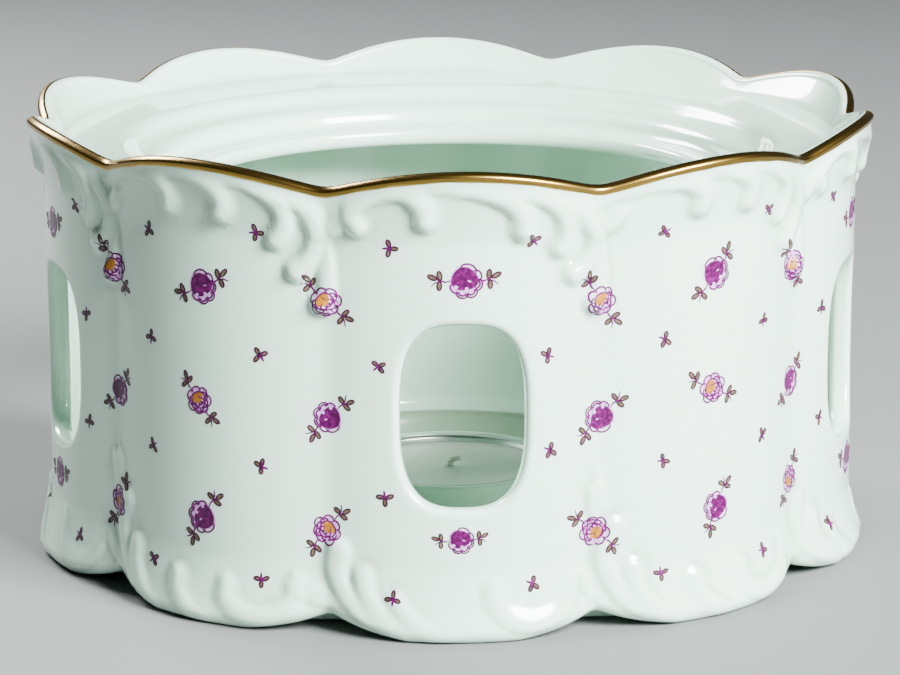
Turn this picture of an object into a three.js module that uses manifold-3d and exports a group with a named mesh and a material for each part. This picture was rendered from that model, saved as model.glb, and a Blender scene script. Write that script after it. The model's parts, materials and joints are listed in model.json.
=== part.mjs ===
// A porcelain food warmer for a teapot, with the tealight that heats it.
// The warmer is one slip-cast shell of ten scallops: a flared lip, a stepped dish round the opening
// that the pot stands over, a tall wall with five oval windows, and a floor inside a scalloped foot.
// It stands on the XY plane with +Z up and its axis on Z, and a window faces -Y. Units are millimetres.

import * as THREE from "three";
import { mergeVertices } from "three/addons/utils/BufferGeometryUtils.js";
import Module from "manifold-3d";

// The scallops: a ridge in the middle of each lobe and a valley between two lobes.
const LOBES = 10;
const LIP_RIDGE_RADIUS = 82;
const LIP_VALLEY_RADIUS = 77.3;
const LIP_RIDGE_HEIGHT = 84.3;
const LIP_VALLEY_HEIGHT = 79.6;
const WALL_RIDGE_RADIUS = 78.4;
const WALL_VALLEY_RADIUS = 75.7;
const FOOT_RIDGE_RADIUS = 80.9;
const FOOT_VALLEY_RADIUS = 76;
const FOOT_ARCH = 4.5;

// How a scallop swells from valley to ridge: a low power gives a round lobe with a tight valley.
const LIP_POWER = 0.83;
const FOOT_POWER = 0.62;
const VALLEY_SOFTNESS = 0.09;
const FOOT_PAD_SHARE = 0.13;

// The wall and where it flares.
const WALL_THICKNESS = 4;
const LIP_FLARE_HEIGHT = 13.3;
const LIP_FLARE_POWER = 1.25;
const FOOT_FLARE_HEIGHT = 13;
const FOOT_FLARE_POWER = 1.6;
const FOOT_BULGE_HEIGHT = 2.4;
const WALL_MIDDLE_HEIGHT = 42.3;
// The foot's edge, as distance in from its widest place and height above its lowest.
const FOOT_WIDTH = 6.4;
const FOOT_EDGE = [
  [0, FOOT_BULGE_HEIGHT],
  [0.5, 0.9],
  [1.6, 0],
  [4.8, 0],
];

// The lip: rounded over, with a shallow rebate outside that the gilding fills.
const LIP_THICKNESS = 2.9;
const LIP_ROUNDING = 0.9;
const GILT_HEIGHT = 1.8;
const GILT_THICKNESS = 0.25;
const GILT_GAP = 0.05;

// The stepped dish, from the foot of the flare to the opening, as radius and height.
const FLARE_FOOT = [73.9, 78.1];
const FLARE_POWER = 1.15;
const OPENING_RADIUS = 49;
const SEAT_HEIGHT = 69.6;
const DISH_STEPS = [
  FLARE_FOOT,
  [72.9, 78.4],
  [71.4, 78.3],
  [66.5, 77.1],
  [62.6, 76.6],
  [61.4, 76.1],
  [60.4, 74.8],
  [59.2, 74.2],
  [56, 73.3],
  [55.1, 72.8],
  [54.5, 71.2],
  [53.5, SEAT_HEIGHT],
  [50.4, SEAT_HEIGHT],
  [49.4, 69.1],
  [OPENING_RADIUS, 68.1],
];

// Below the dish: the inside of the wall curving in, as distance in and height, and then the
// underside of the dish down to its rounded bead at the opening, as radius and height.
const SHOULDER = [
  [0, 70],
  [1, 72.6],
  [4, 73.8],
];
const DISH_UNDERSIDE = [
  [66, 72.9],
  [60.5, 70.8],
  [56.2, 67.1],
  [50.4, 66.3],
  [49.4, 66.6],
  [OPENING_RADIUS, 67.3],
];

// The floor, coved into the wall, and the round socket in its middle that holds the tealight.
const UNDERSIDE_HEIGHT = 0.9;
const FLOOR_HEIGHT = 4;
const COVE_RADIUS = 3.6;
const SOCKET_BORE_RADIUS = 20;
const SOCKET_WALL = 2;
const SOCKET_DRAFT = 0.3;
const SOCKET_FLOOR_HEIGHT = 2.5;
const SOCKET_TOP_HEIGHT = 12.6;
const SOCKET_ROUNDING = 0.8;
const SOCKET_FOOT_SPREAD = 4;

// The windows: one in every other lobe, an oval between an ellipse and a rectangle.
const WINDOWS = 5;
const WINDOW_WIDTH = 22.7;
const WINDOW_HEIGHT = 33.1;
const WINDOW_CENTRE_HEIGHT = 40.3;
const WINDOW_SQUARENESS = 2.95;
const WINDOW_EDGE_RADIUS = 1.3;
const CUTTER_OVERSHOOT = 3;

// The tealight, on the scale of the common 38 mm size in its low form.
const CUP_RADIUS = 19;
const CUP_HEIGHT = 9.8;
const CUP_WALL = 0.35;
const CUP_LIP = 0.6;
const CUP_HEEL = 1.2;
const CUP_TAPER = 0.4;
const WAX_DEPTH_BELOW_LIP = 1.1;
const WAX_DIP = 0.4;
const WAX_RIM = 1.6;
const WICK_RADIUS = 0.7;
const WICK_LEAN = 4.4;
const WICK_STAND = 2;
const SUSTAINER_RADIUS = 6.5;
const SUSTAINER_THICKNESS = 0.4;
const SUSTAINER_NECK_RADIUS = 1.5;
const SUSTAINER_NECK_HEIGHT = 3.2;
const SUSTAINER_PINCH = 0.3;
const FIT_GAP = 0.12;

// How finely the forms are faceted.
const SEGMENTS_PER_LOBE = 8;
const WINDOW_SEGMENTS = 28;
const TEALIGHT_SEGMENTS = 36;
const WICK_SIDES = 8;
const WICK_STEPS = 14;

const wasm = await Module();
wasm.setup();

const TURN = 2 * Math.PI;
const LOBE_ANGLE = TURN / LOBES;

const mix = (from, to, share) => from + (to - from) * share;

// 1 on a ridge, near 0 in a valley.
function lobe(angle, power) {
  const wave = Math.cos((angle * LOBES) / 2) ** 2;
  const soft = VALLEY_SOFTNESS ** 2;
  return ((wave + soft) / (1 + soft)) ** (power / 2);
}

const lipHeight = (angle) =>
  mix(LIP_VALLEY_HEIGHT, LIP_RIDGE_HEIGHT, lobe(angle, LIP_POWER));

// The foot's edge lifts off the table in the valleys and is flat on the table under the ridges.
const footHeight = (angle) =>
  FOOT_ARCH * Math.max(0, 1 - (1 + FOOT_PAD_SHARE) * lobe(angle, FOOT_POWER));

// Radius of the outside of the wall, which flares towards the lip and the foot.
function wallRadius(angle, height) {
  const toLip = 1 - (lipHeight(angle) - height) / LIP_FLARE_HEIGHT;
  const toFoot = 1 - (height - FOOT_BULGE_HEIGHT) / (FOOT_FLARE_HEIGHT - FOOT_BULGE_HEIGHT);
  const lipShare = Math.max(0, Math.min(1, toLip)) ** LIP_FLARE_POWER;
  const footShare = Math.max(0, Math.min(1, toFoot)) ** FOOT_FLARE_POWER;
  const ridge =
    WALL_RIDGE_RADIUS +
    (LIP_RIDGE_RADIUS - WALL_RIDGE_RADIUS) * lipShare +
    (FOOT_RIDGE_RADIUS - WALL_RIDGE_RADIUS) * footShare;
  const valley =
    WALL_VALLEY_RADIUS +
    (LIP_VALLEY_RADIUS - WALL_VALLEY_RADIUS) * lipShare +
    (FOOT_VALLEY_RADIUS - WALL_VALLEY_RADIUS) * footShare;
  const power = mix(LIP_POWER, FOOT_POWER, footShare);
  return mix(valley, ridge, lobe(angle, power));
}

// Five points that round over an edge from its inner radius to its outer one.
function roundedOver(innerRadius, outerRadius, top, rounding) {
  const middle = (innerRadius + outerRadius) / 2;
  const reach = (outerRadius - innerRadius) / 2;
  return [1, 0.75, 0.5, 0.25, 0].map((share) => [
    middle + reach * Math.cos(share * Math.PI),
    top - rounding * (1 - Math.sin(share * Math.PI)),
  ]);
}

const innerWallRadius = (angle) =>
  wallRadius(angle, WALL_MIDDLE_HEIGHT) - WALL_THICKNESS;

// The warmer's section at one angle, from the floor's centre out, up, over the lip and back under.
function warmerSection(angle) {
  const inner = innerWallRadius(angle);
  const lip = lipHeight(angle);
  const foot = footHeight(angle);
  const footRadius = wallRadius(angle, FOOT_BULGE_HEIGHT);
  const outside = (height) => [wallRadius(angle, height), height];

  const socketOuter = SOCKET_BORE_RADIUS + SOCKET_WALL;
  const socket = [
    [0, SOCKET_FLOOR_HEIGHT],
    [SOCKET_BORE_RADIUS, SOCKET_FLOOR_HEIGHT],
    ...roundedOver(SOCKET_BORE_RADIUS, socketOuter, SOCKET_TOP_HEIGHT, SOCKET_ROUNDING),
    [socketOuter + SOCKET_DRAFT, FLOOR_HEIGHT + SOCKET_FOOT_SPREAD / 2],
    [socketOuter + SOCKET_FOOT_SPREAD, FLOOR_HEIGHT],
  ];
  const cove = [0, 0.33, 0.67, 1].map((share) => {
    const turn = (share * Math.PI) / 2;
    return [
      inner - COVE_RADIUS * (1 - Math.sin(turn)),
      FLOOR_HEIGHT + COVE_RADIUS * (1 - Math.cos(turn)),
    ];
  });
  const shoulder = SHOULDER.map(([inset, height]) => [inner - inset, height]);
  const dish = [...DISH_STEPS].reverse();
  const giltTop = lip - LIP_ROUNDING;
  const giltFoot = giltTop - GILT_HEIGHT;
  const rebateDepth = GILT_THICKNESS + GILT_GAP;
  const lipOuter = wallRadius(angle, giltTop);
  const lipInner = lipOuter - LIP_THICKNESS;
  const flare = [0.35, 0.7].map((share) => [
    mix(FLARE_FOOT[0], lipInner, share),
    mix(FLARE_FOOT[1], giltTop, share ** FLARE_POWER),
  ]);
  const overLip = roundedOver(lipInner, lipOuter, lip, LIP_ROUNDING);
  const rebate = [
    [lipOuter - rebateDepth, giltTop],
    [wallRadius(angle, giltFoot) - rebateDepth, giltFoot],
    outside(giltFoot),
  ];
  // The flares curve, so each has stations between its ends.
  const outsideWall = [
    outside(lip - LIP_FLARE_HEIGHT * 0.38),
    outside(lip - LIP_FLARE_HEIGHT * 0.64),
    outside(lip - LIP_FLARE_HEIGHT),
    outside(WALL_MIDDLE_HEIGHT),
    outside(FOOT_FLARE_HEIGHT),
    outside(FOOT_FLARE_HEIGHT * 0.73),
    outside(mix(foot, FOOT_FLARE_HEIGHT, 0.5) - 1.1),
  ];
  const footEdge = FOOT_EDGE.map(([inset, height]) => [footRadius - inset, foot + height]);
  const underside = [
    [footRadius - FOOT_WIDTH, UNDERSIDE_HEIGHT],
    [0, UNDERSIDE_HEIGHT],
  ];
  return [
    ...socket,
    ...cove,
    [inner, WALL_MIDDLE_HEIGHT],
    ...shoulder,
    ...DISH_UNDERSIDE,
    ...dish,
    ...flare,
    ...overLip,
    ...rebate,
    ...outsideWall,
    ...footEdge,
    ...underside,
  ];
}

// The gilding's section: a strip in the lip's rebate, flush with the porcelain round it.
function giltSection(angle) {
  const lip = lipHeight(angle);
  const top = lip - LIP_ROUNDING - GILT_GAP;
  const bottom = lip - LIP_ROUNDING - GILT_HEIGHT + GILT_GAP;
  const topRadius = wallRadius(angle, top);
  const bottomRadius = wallRadius(angle, bottom);
  return [
    [topRadius - GILT_THICKNESS, top],
    [topRadius, top],
    [bottomRadius, bottom],
    [bottomRadius - GILT_THICKNESS, bottom],
  ];
}

// The angles at which a scalloped form is cut into facets: closer together towards the valleys.
function scallopAngles() {
  const angles = [];
  for (let n = 0; n < LOBES; n++) {
    for (let step = 0; step < SEGMENTS_PER_LOBE; step++) {
      const share = (2 * step) / SEGMENTS_PER_LOBE - 1;
      angles.push(LOBE_ANGLE * (n + 0.5 * Math.sin((share * Math.PI) / 2)));
    }
  }
  return angles;
}

// Turns a section that changes with the angle into a closed surface. A point on the axis is one vertex,
// and a section that stays off the axis closes on itself. Angle 0 faces -Y and grows towards +X.
function sweepRound(section) {
  const positions = [];
  const angles = scallopAngles();
  const segments = angles.length;
  const rings = section(0).map(([radius], station) =>
    angles.map((angle, step) => {
      const [r, z] = section(angle)[station];
      if (radius > 0 || step === 0) {
        positions.push(r * Math.sin(angle), -r * Math.cos(angle), z);
      }
      return positions.length / 3 - 1;
    }),
  );
  const touchesAxis = section(0)[0][0] === 0;
  const bands = touchesAxis ? rings.length - 1 : rings.length;
  const faces = [];
  for (let k = 0; k < bands; k++) {
    const near = rings[k];
    const far = rings[(k + 1) % rings.length];
    for (let j = 0; j < segments; j++) {
      const next = (j + 1) % segments;
      if (far[j] !== far[next]) faces.push(near[j], far[j], far[next]);
      if (near[j] !== near[next]) faces.push(near[j], far[next], near[next]);
    }
  }
  return geometryOf(positions, faces);
}

function geometryOf(positions, faces) {
  const geometry = new THREE.BufferGeometry();
  geometry.setAttribute("position", new THREE.Float32BufferAttribute(positions, 3));
  geometry.setIndex(faces);
  return geometry;
}

function solidOf(geometry) {
  const bare = geometry.clone();
  bare.deleteAttribute("normal");
  bare.deleteAttribute("uv");
  const merged = mergeVertices(bare, 1e-4);
  const mesh = new wasm.Mesh({
    numProp: 3,
    vertProperties: new Float32Array(merged.attributes.position.array),
    triVerts: new Uint32Array(merged.index.array),
  });
  return new wasm.Manifold(mesh);
}

function geometryFrom(solid) {
  const mesh = solid.getMesh();
  return geometryOf([...mesh.vertProperties], [...mesh.triVerts]);
}

// A window's cutter: ovals stacked from outside the wall to inside it. It follows the wall's curve,
// and it widens at both faces so that the cut edges come out rounded over.
function windowCutter(centreAngle) {
  const edge = WINDOW_EDGE_RADIUS;
  const depths = [
    [-CUTTER_OVERSHOOT, edge * 1.4],
    [-0.05, edge],
    [edge * 0.3, edge * 0.3],
    [edge, 0],
    [WALL_THICKNESS - edge, 0],
    [WALL_THICKNESS - edge * 0.3, edge * 0.3],
    [WALL_THICKNESS + 0.05, edge],
    [WALL_THICKNESS + CUTTER_OVERSHOOT, edge * 1.4],
  ];
  const positions = [];
  const surface = wallRadius(centreAngle, WINDOW_CENTRE_HEIGHT);
  const addPoint = (angle, depth, height) => {
    const radius = wallRadius(angle, WINDOW_CENTRE_HEIGHT) - depth;
    positions.push(radius * Math.sin(angle), -radius * Math.cos(angle), height);
    return positions.length / 3 - 1;
  };
  for (const [depth, widening] of depths) {
    for (let step = 0; step < WINDOW_SEGMENTS; step++) {
      const turn = ((step + 0.5) * TURN) / WINDOW_SEGMENTS;
      const oval = (value) => Math.sign(value) * Math.abs(value) ** (2 / WINDOW_SQUARENESS);
      const across = (WINDOW_WIDTH / 2 + widening) * oval(Math.cos(turn));
      const up = (WINDOW_HEIGHT / 2 + widening) * oval(Math.sin(turn));
      addPoint(centreAngle + Math.asin(across / surface), depth, WINDOW_CENTRE_HEIGHT + up);
    }
  }
  const faces = [];
  const last = (depths.length - 1) * WINDOW_SEGMENTS;
  for (let j = 0; j < WINDOW_SEGMENTS; j++) {
    const next = (j + 1) % WINDOW_SEGMENTS;
    for (let base = 0; base < last; base += WINDOW_SEGMENTS) {
      const over = base + WINDOW_SEGMENTS;
      faces.push(base + j, over + j, over + next);
      faces.push(base + j, over + next, base + next);
    }
  }
  const outerCentre = addPoint(centreAngle, depths[0][0], WINDOW_CENTRE_HEIGHT);
  const innerCentre = addPoint(centreAngle, depths.at(-1)[0], WINDOW_CENTRE_HEIGHT);
  for (let j = 0; j < WINDOW_SEGMENTS; j++) {
    const next = (j + 1) % WINDOW_SEGMENTS;
    faces.push(outerCentre, j, next);
    faces.push(innerCentre, last + next, last + j);
  }
  return geometryOf(positions, faces);
}

function warmerBody() {
  let body = solidOf(sweepRound(warmerSection));
  for (let n = 0; n < WINDOWS; n++) {
    const cutter = solidOf(windowCutter(n * 2 * LOBE_ANGLE));
    body = body.subtract(cutter);
  }
  return geometryFrom(body);
}

const giltBand = () => sweepRound(giltSection);

// A lathe turned round Z from points of radius and height.
function turned(points) {
  const profile = points.map(([radius, height]) => new THREE.Vector2(radius, height));
  return new THREE.LatheGeometry(profile, TEALIGHT_SEGMENTS).rotateX(Math.PI / 2);
}

// The pressed aluminium cup: a slightly tapered wall, a rounded heel and a lip rolled outwards.
function tealightCup() {
  const inner = CUP_RADIUS - CUP_WALL;
  return turned([
    [0, 0],
    [CUP_RADIUS - CUP_HEEL, 0],
    [CUP_RADIUS - CUP_TAPER, CUP_HEEL / 2],
    [CUP_RADIUS, CUP_HEIGHT - CUP_LIP - CUP_WALL / 2],
    [CUP_RADIUS + CUP_LIP, CUP_HEIGHT - CUP_LIP],
    [CUP_RADIUS + CUP_LIP, CUP_HEIGHT - CUP_WALL / 2],
    [CUP_RADIUS, CUP_HEIGHT],
    [inner, CUP_HEIGHT - CUP_WALL],
    [inner - CUP_TAPER, CUP_WALL + CUP_HEEL / 2],
    [inner - CUP_HEEL, CUP_WALL],
    [0, CUP_WALL],
  ]);
}

// The wax fills the cup round the sustainer and wick, and its top dips a little, as poured wax does.
function tealightWax() {
  const inner = CUP_RADIUS - CUP_WALL - FIT_GAP;
  const bottom = CUP_WALL + FIT_GAP;
  const discTop = bottom + SUSTAINER_THICKNESS + FIT_GAP;
  const neckTop = bottom + SUSTAINER_NECK_HEIGHT + FIT_GAP;
  const top = CUP_HEIGHT - WAX_DEPTH_BELOW_LIP;
  const profile = [
    [SUSTAINER_RADIUS + FIT_GAP, bottom],
    [inner - CUP_HEEL, bottom],
    [inner - CUP_TAPER, bottom + CUP_HEEL / 2],
    [inner - FIT_GAP, top],
    [inner - WAX_RIM, top - WAX_DIP / 2],
    [WICK_RADIUS + WAX_RIM, top - WAX_DIP],
    [WICK_RADIUS + FIT_GAP, top - WAX_DIP / 4],
    [WICK_RADIUS + FIT_GAP, neckTop],
    [SUSTAINER_NECK_RADIUS + FIT_GAP, neckTop],
    [SUSTAINER_NECK_RADIUS + FIT_GAP, discTop],
    [SUSTAINER_RADIUS + FIT_GAP, discTop],
  ];
  return turned([...profile, profile[0]]);
}

// The sustainer: a thin steel disc on the cup's bottom, with a neck pinched round the wick.
function wickSustainer() {
  const bore = WICK_RADIUS + FIT_GAP / 2;
  const bottom = CUP_WALL + FIT_GAP / 2;
  const profile = [
    [bore, bottom],
    [SUSTAINER_RADIUS, bottom],
    [SUSTAINER_RADIUS, bottom + SUSTAINER_THICKNESS],
    [SUSTAINER_NECK_RADIUS, bottom + SUSTAINER_THICKNESS],
    [SUSTAINER_NECK_RADIUS - SUSTAINER_PINCH, bottom + SUSTAINER_NECK_HEIGHT],
    [bore, bottom + SUSTAINER_NECK_HEIGHT],
  ];
  return turned([...profile, profile[0]]);
}

// The wick stands in the sustainer and leans over above the wax.
function tealightWick() {
  const waxTop = CUP_HEIGHT - WAX_DEPTH_BELOW_LIP;
  const route = new THREE.CatmullRomCurve3([
    new THREE.Vector3(0, 0, CUP_WALL + FIT_GAP),
    new THREE.Vector3(0, 0, waxTop * 0.5),
    new THREE.Vector3(0, 0, waxTop),
    new THREE.Vector3(WICK_LEAN * 0.12, 0, waxTop + WICK_STAND * 0.55),
    new THREE.Vector3(WICK_LEAN * 0.5, 0, waxTop + WICK_STAND * 0.95),
    new THREE.Vector3(WICK_LEAN, 0, waxTop + WICK_STAND),
  ]);
  const section = new THREE.Shape();
  for (let side = 0; side < WICK_SIDES; side++) {
    const turn = (side * TURN) / WICK_SIDES;
    const x = WICK_RADIUS * Math.cos(turn);
    const y = WICK_RADIUS * Math.sin(turn);
    if (side === 0) section.moveTo(x, y);
    else section.lineTo(x, y);
  }
  return new THREE.ExtrudeGeometry(section, { steps: WICK_STEPS, extrudePath: route });
}

const porcelain = { color: 0xeaf1ec, roughness: 0.12, metalness: 0 };
const gilding = { color: 0xa9812f, roughness: 0.22, metalness: 1 };
const aluminium = { color: 0xc9cbcc, roughness: 0.32, metalness: 1 };
const wax = { color: 0xf4f0e4, roughness: 0.45, metalness: 0 };
const cotton = { color: 0xefeae0, roughness: 0.95, metalness: 0 };
const steel = { color: 0x9ea2a4, roughness: 0.35, metalness: 1 };

function piece(name, geometry, finish) {
  const mesh = new THREE.Mesh(geometry, new THREE.MeshStandardMaterial(finish));
  mesh.name = name;
  return mesh;
}

const tealight = new THREE.Group();
tealight.position.z = SOCKET_FLOOR_HEIGHT + FIT_GAP / 2;
tealight.add(
  piece("tealight_cup", tealightCup(), aluminium),
  piece("tealight_wax", tealightWax(), wax),
  piece("wick_sustainer", wickSustainer(), steel),
  piece("tealight_wick", tealightWick(), cotton),
);

const foodWarmer = new THREE.Group();
foodWarmer.add(
  piece("warmer_body", warmerBody(), porcelain),
  piece("gilt_rim_band", giltBand(), gilding),
  tealight,
);

export default foodWarmer;
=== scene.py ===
import json
import math

import bmesh
import bpy
import numpy as np
from mathutils import Matrix, Vector

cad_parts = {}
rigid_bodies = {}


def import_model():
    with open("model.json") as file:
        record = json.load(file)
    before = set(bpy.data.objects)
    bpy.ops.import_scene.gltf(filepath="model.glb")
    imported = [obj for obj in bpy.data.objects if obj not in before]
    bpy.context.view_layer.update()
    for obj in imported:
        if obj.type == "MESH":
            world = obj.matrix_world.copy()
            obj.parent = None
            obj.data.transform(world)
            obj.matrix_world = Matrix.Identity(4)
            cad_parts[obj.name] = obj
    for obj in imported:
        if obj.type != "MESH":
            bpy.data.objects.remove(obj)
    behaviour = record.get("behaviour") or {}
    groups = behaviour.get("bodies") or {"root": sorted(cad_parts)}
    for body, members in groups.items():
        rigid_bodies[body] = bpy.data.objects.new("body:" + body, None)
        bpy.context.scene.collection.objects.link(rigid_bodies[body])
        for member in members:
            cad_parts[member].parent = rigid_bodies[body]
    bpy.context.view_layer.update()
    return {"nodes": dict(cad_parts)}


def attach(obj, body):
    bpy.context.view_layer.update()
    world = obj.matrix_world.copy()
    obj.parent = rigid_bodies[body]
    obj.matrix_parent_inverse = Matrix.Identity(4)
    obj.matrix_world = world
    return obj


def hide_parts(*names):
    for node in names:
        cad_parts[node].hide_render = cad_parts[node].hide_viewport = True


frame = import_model()

# The shell is one piece of hard porcelain, slip-cast in a plaster mould with its scallops and scrolls,
# fired, dipped in clear glaze and fired again. It is the same form as the CAD body, with finer facets,
# soft glazed edges and the raised scrolls of the mould.

MM = 0.001
LOBES = 10
LIP_RIDGE, LIP_VALLEY = (82.0, 84.3), (77.3, 79.6)
WALL_RIDGE, WALL_VALLEY = 78.4, 75.7
FOOT_RIDGE, FOOT_VALLEY = 80.9, 76.0
FOOT_ARCH, FOOT_PAD_SHARE = 4.5, 0.13
LIP_FLARE_HEIGHT, FOOT_FLARE_HEIGHT, FOOT_BULGE_HEIGHT = 13.3, 13.0, 2.4
LIP_FLARE_CURVE, FOOT_FLARE_CURVE = 1.25, 1.6
LIP_THICKNESS, LIP_ROUNDING, WALL_THICKNESS = 2.9, 0.9, 4.0
UPPER_RELIEF_FOOT, LOWER_RELIEF_TOP = 54.0, 28.0
WINDOW_WIDTH, WINDOW_HEIGHT, WINDOW_CENTRE = 22.7, 33.1, 40.3


def mix(start, end, share):
    return start + (end - start) * share


def wall_radius(height, ridge):
    """Radius of the outside of the wall at a height, on a ridge or in a valley."""
    lip_radius, lip_height = LIP_RIDGE if ridge else LIP_VALLEY
    middle = WALL_RIDGE if ridge else WALL_VALLEY
    foot = FOOT_RIDGE if ridge else FOOT_VALLEY
    to_lip = np.clip(1 - (lip_height - height) / LIP_FLARE_HEIGHT, 0, 1) ** LIP_FLARE_CURVE
    return middle + (lip_radius - middle) * to_lip + (foot - middle) * foot_share(height)


def foot_share(height):
    rise = FOOT_FLARE_HEIGHT - FOOT_BULGE_HEIGHT
    return np.clip(1 - (height - FOOT_BULGE_HEIGHT) / rise, 0, 1) ** FOOT_FLARE_CURVE


def place(ridge, valley=None, rest=-1.0, share=0.0):
    """A station of the section: radius and height on a ridge and in a valley, the least height that
    it may have, and how far it follows the foot's scallops instead of the lip's."""
    return np.array([*ridge, *(valley or ridge), rest, share], float)


def on_wall(ridge_height, valley_height, rest=-1.0):
    ridge = (wall_radius(max(ridge_height, rest), True), ridge_height)
    valley = (wall_radius(valley_height, False), valley_height)
    return place(ridge, valley, rest, foot_share(max(ridge_height, rest)))


def inside(inset, height):
    thinner = WALL_THICKNESS + inset
    return place((WALL_RIDGE - thinner, height), (WALL_VALLEY - thinner, height))


def softened(stations, cuts):
    """Cuts the corners of a run of stations, as glaze rounds them over."""
    for _ in range(cuts):
        cut = [stations[0]]
        for near, far in zip(stations, stations[1:]):
            cut += [mix(near, far, 0.25), mix(near, far, 0.75)]
        stations = [*cut, stations[-1]]
    return stations


def spread(start, end, steps):
    return [mix(start, end, n / steps) for n in range(1, steps + 1)]


# The section, from the middle of the candle socket out, up and over the lip, and down to the foot.
socket_and_floor = softened(
    [
        place((r, z))
        for r, z in [
            (0.4, 2.5), (19.4, 2.5), (20, 3), (20, 11.7), (20.3, 12.5), (21, 12.65), (21.7, 12.5),
            (22, 11.7), (22.2, 8), (22.7, 5.6), (24.2, 4.3), (28, 4), (40, 4), (56, 4),
        ]
    ]
    + [inside(3.6, 4), inside(1.3, 4.5), inside(0.3, 5.8), inside(0, 7.6)],
    1,
)
shoulder = [inside(0, 70), inside(0.2, 71.4), inside(0.9, 72.6), inside(2.2, 73.4), inside(4, 73.7)]


def lip_arc(share, proud=0.0):
    """Over the lip's rounded edge, from inside at 0 to outside at 1."""
    turn = math.pi * (1 - share)
    half = LIP_THICKNESS / 2
    ends = []
    for ridge, (_, lip) in ((True, LIP_RIDGE), (False, LIP_VALLEY)):
        middle = wall_radius(lip - LIP_ROUNDING, ridge) - half
        rise = (LIP_ROUNDING + proud) * math.sin(turn)
        ends.append((middle + (half + proud) * math.cos(turn), lip - LIP_ROUNDING + rise))
    return place(*ends)


DISH_EDGE, FLARE_HOLLOW = (73.9, 78.1), 1.15


def flare(share):
    """Up the inside of the flared lip, from the dish at 0 to the lip at 1."""
    start, end = place(DISH_EDGE), lip_arc(0)
    rising = mix(start, end, share)
    rising[[1, 3]] = mix(start, end, share**FLARE_HOLLOW)[[1, 3]]
    return rising


underside_of_dish = [place(p) for p in [(66, 72.9), (60.5, 70.8), (56.2, 67.1), (53, 66.4)]]
dish = softened(
    [
        place(p)
        for p in [
            (53, 66.4), (49.8, 66.2), (48.9, 67.6), (49.2, 69.4), (50.4, 69.75), (54.1, 69.7), (55.2, 73.3),
            (59.8, 73.9), (61.9, 76.8), (66.5, 77.1), (73.5, 77.9),
        ]
    ]
    + [flare(0.2)],
    3,
)
flare_rows = [flare(share) for share in np.linspace(0.28, 0.93, 8)]
over_lip = [lip_arc(share) for share in np.linspace(0, 1, 11)]
lip_edge = on_wall(LIP_RIDGE[1] - LIP_ROUNDING, LIP_VALLEY[1] - LIP_ROUNDING)
UPPER_ROWS, MIDDLE_ROWS, LOWER_ROWS = 38, 8, 34
upper_wall = [
    on_wall(mix(lip_edge[1], UPPER_RELIEF_FOOT, t), mix(lip_edge[3], UPPER_RELIEF_FOOT, t))
    for t in np.linspace(0, 1, UPPER_ROWS + 1)[1:]
]
middle_wall = spread(
    on_wall(UPPER_RELIEF_FOOT, UPPER_RELIEF_FOOT), on_wall(LOWER_RELIEF_TOP, LOWER_RELIEF_TOP), MIDDLE_ROWS
)


def above_foot(rise):
    """A height above the foot's edge, which lifts off the table in the valleys."""
    return rise - FOOT_ARCH * FOOT_PAD_SHARE, rise + FOOT_ARCH, rise


lower_wall = [
    on_wall(*(mix(LOWER_RELIEF_TOP, end, t) for end in above_foot(FOOT_BULGE_HEIGHT)))
    for t in np.linspace(0, 1, LOWER_ROWS + 1)[1:]
]


def foot_edge(inset, rise):
    low, high, rest = above_foot(rise)
    return place((FOOT_RIDGE - inset, low), (FOOT_VALLEY - inset, high), rest, 1)


FOOT_WIDTH, UNDERSIDE = 6.4, 0.9
foot = [
    foot_edge(*p)
    for p in [
        (0.1, 1.75), (0.3, 1.15), (0.65, 0.65), (1.1, 0.28), (1.6, 0.08), (2.3, 0), (4.4, 0), (4.9, 0.2),
    ]
]
foot.append(place((FOOT_RIDGE - FOOT_WIDTH, UNDERSIDE), (FOOT_VALLEY - FOOT_WIDTH, UNDERSIDE), UNDERSIDE, 1))
underside = [place((radius, UNDERSIDE)) for radius in (60, 30, 0.4)]

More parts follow.
